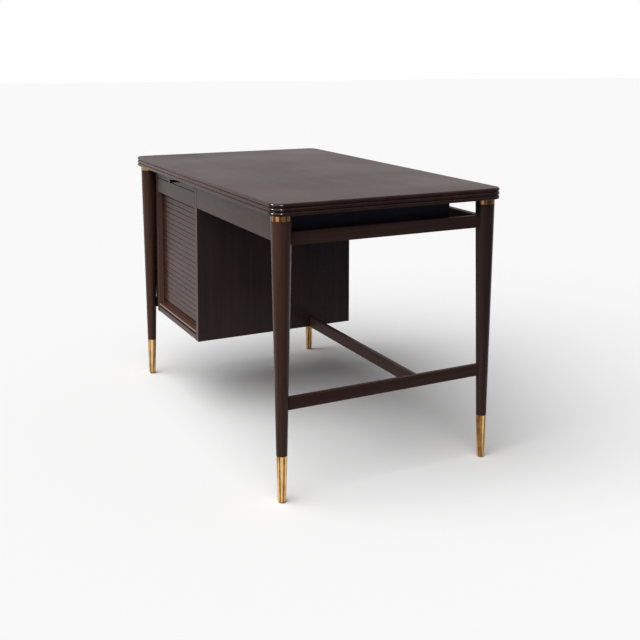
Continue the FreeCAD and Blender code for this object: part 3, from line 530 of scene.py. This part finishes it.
def piece_from(name, groups, material):
    """A new mesh piece made of some of a bmesh's faces."""
    fresh = bmesh.new()
    made = {}
    for group in groups:
        for face in group:
            corners = []
            for vertex in face.verts:
                if vertex not in made:
                    made[vertex] = fresh.verts.new(vertex.co)
                corners.append(made[vertex])
            fresh.faces.new(corners)
    bmesh.ops.recalc_face_normals(fresh, faces=fresh.faces)
    data = bpy.data.meshes.new(name)
    fresh.to_mesh(data)
    fresh.free()
    data.materials.append(material)
    piece = bpy.data.objects.new(name, data)
    scene.collection.objects.link(piece)
    return piece


def cut_at(node_name, height):
    """A CAD node's mesh below a height and above it, as two bmeshes that are capped there."""
    halves = []
    for clear_outer in (True, False):
        mesh = welded(node_name)
        everything = mesh.verts[:] + mesh.edges[:] + mesh.faces[:]
        cut = bmesh.ops.bisect_plane(
            mesh,
            geom=everything,
            plane_co=(0, 0, height),
            plane_no=(0, 0, 1),
            clear_outer=clear_outer,
            clear_inner=not clear_outer,
        )
        rim = [item for item in cut["geom_cut"] if isinstance(item, bmesh.types.BMEdge)]
        bmesh.ops.contextual_create(mesh, geom=rim)
        halves.append(mesh)
    return halves


def hang(name, groups, material, node_name, anchor=None):
    """A curtain piece, attached to the tambour with its own mesh when it has an anchor, and to the desk
    when it has none.
    """
    piece = piece_from(name, groups, material)
    if anchor is None:
        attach(piece, "desk")
    else:
        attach(piece, "tambour")
        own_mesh(piece)
    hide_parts(node_name)
    return piece


def say_cloth(piece):
    """Work out the length that its volume gives a piece of the canvas at its thickness; the length is not
    passed on.
    """
    low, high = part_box("tambour_canvas")
    width = high.x - low.x
    mesh = bmesh.new()
    mesh.from_mesh(piece.data)
    length = mesh.calc_volume() / (CANVAS_THICK * width)
    mesh.free()


def hang_curtain(body, canvas):
    """Make the curtain's four pieces, and attach each of them to what it rides on."""
    lead_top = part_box("tambour_lead_rail")[1].z
    mesh, groups = islands("tambour_slats")
    tops = [max(vertex.co.z for face in group for vertex in face.verts) for group in groups]
    rising = [group for group, top in zip(groups, tops) if top < TURN_START]
    turning = [group for group, top in zip(groups, tops) if top >= TURN_START]
    hang("curtain_rising", rising, body["X"], "tambour_slats", lead_top)
    hang("curtain_in_turn", turning, body["X"], "tambour_slats")
    mesh.free()
    low, high = cut_at("tambour_canvas", CANVAS_CUT)
    rising_cloth = hang("canvas_rising", [low.faces], canvas, "tambour_canvas", lead_top)
    say_cloth(rising_cloth)
    turning_cloth = hang("canvas_in_turn", [high.faces], canvas, "tambour_canvas")
    say_cloth(turning_cloth)
    low.free()
    high.free()


# ---------------------------------------------------------------------------------------------------------
# Floor and light
# ---------------------------------------------------------------------------------------------------------

FLOOR_SIZE = 60
FLOOR_ROUGHNESS = 0.9
FLOOR_COLOUR = (0.93, 0.93, 0.93)
FLOOR_BOUNCE = (0.22, 0.22, 0.22)  # what the floor gives back to the object's shaded sides
SKY_LEVEL = 0.12  # light from all round, which fills the shade
KEY_LEVEL = 0.90  # what the key light gives the floor, where 1 would make a white floor white
KEY_WIDTH = math.radians(75)
KEY_BEARING = math.radians(-74)  # 0 is +X, -90 is the front
KEY_HEIGHT = math.radians(55)
GLINT_LEVEL = 16
GLINT_WIDTH = math.radians(8)
GLINT_FRONT = math.radians(-107)
GLINT_END = math.radians(-11.5)
GLINT_HEIGHT = math.radians(37)
FLAG_COLOUR = (0.20, 0.25, 0.34)
FLAG_NEAR = 1.1  # the flag's reach along +X
FLAG_FAR = 3.5
FLAG_START = -2.0  # and along +Y
FLAG_END = 6.0
FLAG_LOW = 0.001
FLAG_HIGH = 3.0


def seen_share(tree):
    """1 for what the camera sees, also in gloss and through glass, and 0 for soft light."""
    paths = tree.add("ShaderNodeLightPath")
    shown = tree.math("MAXIMUM", paths.outputs["Is Camera Ray"], paths.outputs["Is Glossy Ray"])
    return tree.math("MAXIMUM", shown, paths.outputs["Is Transmission Ray"])


def make_floor():
    """A pale floor, which gives the object less light from below than it shows the camera."""
    data = bpy.data.meshes.new("floor")
    half = FLOOR_SIZE / 2
    corners = [(-half, -half, 0), (half, -half, 0), (half, half, 0), (-half, half, 0)]
    data.from_pydata(corners, [], [(0, 1, 2, 3)])
    floor = bpy.data.objects.new("floor", data)
    scene.collection.objects.link(floor)
    material, tree, shader = new_material("floor", specular=0)
    colour = tree.mix(seen_share(tree), FLOOR_BOUNCE, FLOOR_COLOUR)
    tree.feed(shader, Base_Color=colour, Roughness=FLOOR_ROUGHNESS)
    data.materials.append(material)


def make_world():
    """White where it is seen, also in reflections, and a dimmer light from all round for the rest."""
    white = (1, 1, 1, 1)
    world = bpy.data.worlds.new("world")
    scene.world = world
    world.use_nodes = True
    tree = Tree(world.node_tree)
    soft = tree.add("ShaderNodeBackground")
    tree.feed(soft, Color=white, Strength=SKY_LEVEL)
    plain = tree.add("ShaderNodeBackground")
    tree.feed(plain, Color=white, Strength=1.0)
    chosen = tree.add("ShaderNodeMixShader")
    tree.join(seen_share(tree), chosen.inputs[0])
    tree.join(soft.outputs[0], chosen.inputs[1])
    tree.join(plain.outputs[0], chosen.inputs[2])
    output = tree.add("ShaderNodeOutputWorld")
    tree.join(chosen.outputs[0], output.inputs["Surface"])


def make_lamp(name, strength, width, bearing, height):
    """A far lamp, as wide as it looks from the object."""
    data = bpy.data.lights.new(name, "SUN")
    data.energy = strength
    data.angle = width
    lamp = bpy.data.objects.new(name, data)
    scene.collection.objects.link(lamp)
    level = math.cos(height)
    ray = -Vector((math.cos(bearing) * level, math.sin(bearing) * level, math.sin(height)))
    lamp.rotation_euler = ray.to_track_quat("-Z", "Y").to_euler()
    return lamp


def make_lamps():
    """One wide, soft key, and two small lamps that only the desktop's gloss shows."""
    make_lamp("key", KEY_LEVEL * math.pi / math.sin(KEY_HEIGHT), KEY_WIDTH, KEY_BEARING, KEY_HEIGHT)
    shining = bpy.data.collections.new("shining")
    shining.objects.link(nodes["desktop"])
    for name, bearing in (("glint_front", GLINT_FRONT), ("glint_end", GLINT_END)):
        lamp = make_lamp(name, GLINT_LEVEL, GLINT_WIDTH, bearing, GLINT_HEIGHT)
        lamp.visible_diffuse = False
        lamp.light_linking.receiver_collection = shining


def make_flag():
    """A dim grey-blue panel and floor cloth at the desk's right end, there only for reflections."""
    data = bpy.data.meshes.new("flag")
    near, far, start, end = FLAG_NEAR, FLAG_FAR, FLAG_START, FLAG_END
    corners = [(near, start, FLAG_LOW), (far, start, FLAG_LOW), (far, end, FLAG_LOW), (near, end, FLAG_LOW)]
    corners += [(far, start, FLAG_HIGH), (far, end, FLAG_HIGH)]
    data.from_pydata(corners, [], [(0, 1, 2, 3), (1, 4, 5, 2)])
    flag = bpy.data.objects.new("flag", data)
    scene.collection.objects.link(flag)
    for rays in ("camera", "diffuse", "transmission", "shadow"):
        setattr(flag, f"visible_{rays}", False)
    material, tree, shader = new_material("flag", specular=0)
    tree.feed(shader, Base_Color=(0, 0, 0, 1), Emission_Color=(*FLAG_COLOUR, 1), Emission_Strength=1.0)
    data.materials.append(material)


make_camera()
make_floor()
make_world()
make_lamps()
make_flag()
walnut = along_each("XZ", "walnut", WALNUT)
canvas_cloth = cloth("canvas", CANVAS)
dress_nodes(walnut, canvas_cloth)
dress_faces()
hang_curtain(walnut, canvas_cloth)

scene.view_settings.view_transform = "Standard"
